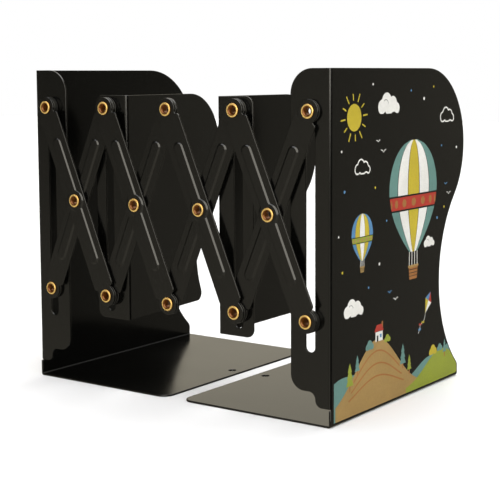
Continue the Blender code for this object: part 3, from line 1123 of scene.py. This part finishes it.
def speck(ink, x, y, radius):
    draw(ink, 1, disc((x, y), radius, radius, 16))


def kite(centre, tall, tilt):
    top, right, bottom, left, middle = placed(kite_corners, centre, tall, tilt)
    draw("blue", 1, [top, left, middle])
    draw("red", 1, [top, middle, right])
    draw("mustard", 1, [middle, left, bottom])
    draw("white", 1, [middle, bottom, right])
    tail = []
    for step in range(25):
        run = 9 * step / 24
        tail.append((bottom[0] - run + math.sin(run), bottom[1] - run + math.cos(run) - 1))
    draw("white", 0.8, stroke(tail, 0.35))
    for step, ink in ((8, "mustard"), (15, "red"), (21, "blue")):
        draw(ink, 2, placed(kite_bow, tail[step]))


def draw_print():
    draw("mustard", 1, disc(sun_place, sun_radius, sun_radius, 48))
    for ray in range(12):
        line = stroke([(ray_start, 0), (ray_ends[ray % 2], 0)], line_width)
        draw("mustard", 1, placed(line, sun_place, 1, 2 * math.pi * ray / 12 + ray_turn))
    balloon((92, 124), 29.0, ("teal", "white", "mustard", "white", "teal"), "red", "brown")
    balloon((33, 103), 11.5, ("blue", "mustard", "white", "mustard", "blue"), "green", "ochre")
    kite((111, 53), 14.0, -0.5)
    hill("teal", 1, far_ridge, 3.5, 150)
    hill("ochre", 2, near_ridge, 5, 122)
    hill("green", 2.5, low_ridge, 84, 150)
    for share in furrow_shares:
        line = []
        for step in range(-15, 16):
            depth = near_middle + step * 2.15 * (1.12 - 0.4 * share)
            line.append((depth, (near_ridge(depth) - near_foot) * share + 5.0))
        draw("brown", 3, stroke(line, line_width))
    for ink, layer, corners in house_parts:
        draw(ink, layer, placed(corners, house_place))
    for shape, ink, rows in (
        (cloud, "white", [(62, 174, 1.0), (24, 62, 0.85), (112, 90, 0.55)]),
        (open_cloud, "white", [(134, 166, 0.72), (33, 140, 0.66)]),
        (fir, "green", [(20, 17.5, 13), (88, 14.0, 9)]),
        (fir, "teal", [(28, 24.5, 9), (80, 19.0, 12), (133.5, 16.5, 8)]),
        (bush, "green", [(61.5, 38.5, 0.8)]),
        (bush, "teal", [(41.5, 37.5, 1.0), (127, 21.5, 0.8)]),
        (bush, "mustard", [(118, 21.0, 1.1)]),
        (bird, "white", [(56, 148, 5.5), (50, 154, 4.0), (137, 118, 5.0), (71, 61, 5.2)]),
        (bird, "blue", [(133, 124, 3.6), (64, 66, 4.2)]),
        (speck, "blue", [(14, 128, 0.9), (88, 182, 0.7), (40, 72, 0.7)]),
        (speck, "blue", [(122, 104, 0.9), (60, 108, 0.7), (127, 148, 0.6)]),
        (speck, "white", [(11, 150, 0.7), (52, 84, 0.9), (104, 177, 1.0)]),
        (speck, "white", [(147, 146, 0.8), (44, 186, 0.7), (8, 104, 0.6)]),
        (speck, "mustard", [(47, 128, 0.7), (12, 84, 0.8), (116, 184, 0.7), (131, 110, 0.8)]),
    ):
        for row in rows:
            shape(ink, *row)


def press(bm, side, layer, outline, holes):
    """A thin closed slab of ink on the outer face of one end plate."""
    face = overall_width / 2 - ink_depth
    slabs = []
    for points, hole in [(outline, False)] + [(points, True) for points in holes]:
        rows = []
        for out in (layer * ink_layer, -ink_root):
            place = side * (face + out)
            spots = [(place, flange_front + x / 1000, y / 1000) for x, y in oriented(points, hole)]
            rows.append([bm.verts.new(spot) for spot in spots])
        add_band(bm, *rows)
        slabs.append(rows)
    for loops in zip(*slabs):
        fill(bm, loops, (side, 0, 0))


def dress_print():
    """Each end plate's print as one piece for each ink."""
    draw_print()
    paints = {ink: ink_material(f"ink_{ink}", colour) for ink, colour in inks.items()}
    for side, hand in ((-1, "left"), (1, "right")):
        for ink, paint in paints.items():
            bm = bmesh.new()
            for shape_ink, layer, outline, holes in print_shapes:
                if shape_ink == ink:
                    press(bm, side, layer, outline, holes)
            name = f"{hand}_print_{ink}"
            mesh = finished(name, bm)
            mesh.shade_flat()
            dress(name, mesh, (0, 0, 0), upright, paint, f"{hand}_end", None)


dress_print()


# Floor, light and camera.

# Soft lamps all round: azimuth from the front to the right, elevation, the angles off the lamp's
# middle where it is dark and where it is full, brightness and colour.
warm = (1.0, 0.92, 0.73)
plain = (1.0, 1.0, 1.0)
studio_lamps = [
    (-152, 12, 52, 26, 0.70, warm),
    (163, -14, 38, 12, 0.15, warm),
    (-45, -42, 50, 20, 0.45, warm),
    (-25, 5, 20, 8, 0.25, warm),
    (10, -12, 48, 25, 0.25, warm),
    (35, -33, 35, 12, 0.50, warm),
    (180, 80, 48, 28, 3.6, plain),
]
studio_dusk = (0.045, 0.044, 0.038)
floor_colour = (0.84, 0.84, 0.85)

# The camera as solved from the photograph: place from the left plate's front edge on the floor,
# degrees of yaw, pitch and roll, and focal length and width in the photograph's pixels.
camera_place = (0.57590, -0.56613, 0.19132)
camera_turn = (35.89, 5.66, -0.29)
focal_pixels, picture_pixels = 1259.4, 500
sensor = 36.0
camera_shift = -0.10


def make_floor():
    """A wide pale floor, matt and not mirrored in the coat."""
    material, shader, place = new_material("pale_floor")
    paint = tinted(floor_colour, vary(noise(place, 3.0), 0.97, 1.0))
    feed(shader, {"Base Color": paint, "Roughness": 0.85, "Specular IOR Level": 0.0})
    mesh = bpy.data.meshes.new("floor")
    bm = bmesh.new()
    bmesh.ops.create_grid(bm, x_segments=8, y_segments=8, size=4.0)
    bm.to_mesh(mesh)
    bm.free()
    mesh.materials.append(material)
    floor = bpy.data.objects.new("floor", mesh)
    bpy.context.scene.collection.objects.link(floor)
    floor.visible_glossy = False


def direction(azimuth, elevation):
    """The way towards a lamp. Azimuth is in degrees from the front to the right."""
    turn, rise = math.radians(azimuth), math.radians(elevation)
    return Vector((math.sin(turn) * math.cos(rise), -math.cos(turn) * math.cos(rise), math.sin(rise)))


def make_world():
    """White for the camera, and a soft studio with a few wide lamps for everything else."""
    world = bpy.data.worlds.new("studio")
    bpy.context.scene.world = world
    world.use_nodes = True
    tree = world.node_tree
    tree.nodes.clear()
    way = node(tree, "ShaderNodeTexCoord", {}, {}).outputs["Generated"]
    total = studio_dusk
    for azimuth, elevation, dark_deg, full_deg, brightness, colour in studio_lamps:
        dark, full = math.cos(math.radians(dark_deg)), math.cos(math.radians(full_deg))
        facing = vector_node(way, "DOT_PRODUCT", "Value", {0: way, 1: direction(azimuth, elevation)})
        lobe = spread(facing, dark, full, 0.0, brightness, "SMOOTHSTEP")
        total = vector_node(way, "ADD", 0, {0: total, 1: tinted(colour, lobe)})
    soft = node(tree, "ShaderNodeBackground", {}, {"Color": total, "Strength": 1.0})
    white = node(tree, "ShaderNodeBackground", {}, {"Color": (1, 1, 1, 1), "Strength": 1.0})
    seen = node(tree, "ShaderNodeLightPath", {}, {}).outputs["Is Camera Ray"]
    mixed = node(tree, "ShaderNodeMixShader", {}, {0: seen, 1: soft.outputs[0], 2: white.outputs[0]})
    node(tree, "ShaderNodeOutputWorld", {}, {"Surface": mixed.outputs[0]})


def make_lamp(name, towards, distance, wide, tall, brightness, colour):
    """A soft lamp on this side of the rack, aimed at its middle."""
    aim = Vector((0, 0, plate_height / 2))
    light = bpy.data.lights.new(name, "AREA")
    light.shape = "RECTANGLE"
    light.size = wide
    light.size_y = tall
    light.energy = brightness * math.pi * wide * tall
    light.color = colour
    lamp = bpy.data.objects.new(name, light)
    lamp.location = aim + towards * distance
    lamp.rotation_euler = (-towards).to_track_quat("-Z", "Y").to_euler()
    bpy.context.scene.collection.objects.link(lamp)
    return lamp


def make_camera():
    """The camera at the photograph's angle."""
    yaw, pitch, roll = (math.radians(angle) for angle in camera_turn)
    turned = Matrix.Rotation(yaw, 4, "Z") @ Matrix.Rotation(quarter - pitch, 4, "X")
    camera_data = bpy.data.cameras.new("camera")
    camera_data.sensor_width = sensor
    camera_data.lens = focal_pixels / picture_pixels * sensor
    camera_data.shift_y = camera_shift
    camera = bpy.data.objects.new("camera", camera_data)
    place = Vector((-overall_width / 2, flange_front, 0)) + Vector(camera_place)
    camera.matrix_world = Matrix.Translation(place) @ turned @ Matrix.Rotation(roll, 4, "Z")
    bpy.context.scene.collection.objects.link(camera)
    bpy.context.scene.camera = camera


make_floor()
make_world()
sheen = make_lamp("sheen", direction(40, 31), 1.6, 1.85, 1.85, 4.5, (1.0, 0.95, 0.84))
sheen.visible_diffuse = False
fill_lamp = make_lamp("fill", direction(45, 11), 1.8, 1.4, 0.5, 6.2, plain)
fill_lamp.visible_glossy = False
make_camera()
bpy.context.scene.view_settings.view_transform = "Standard"
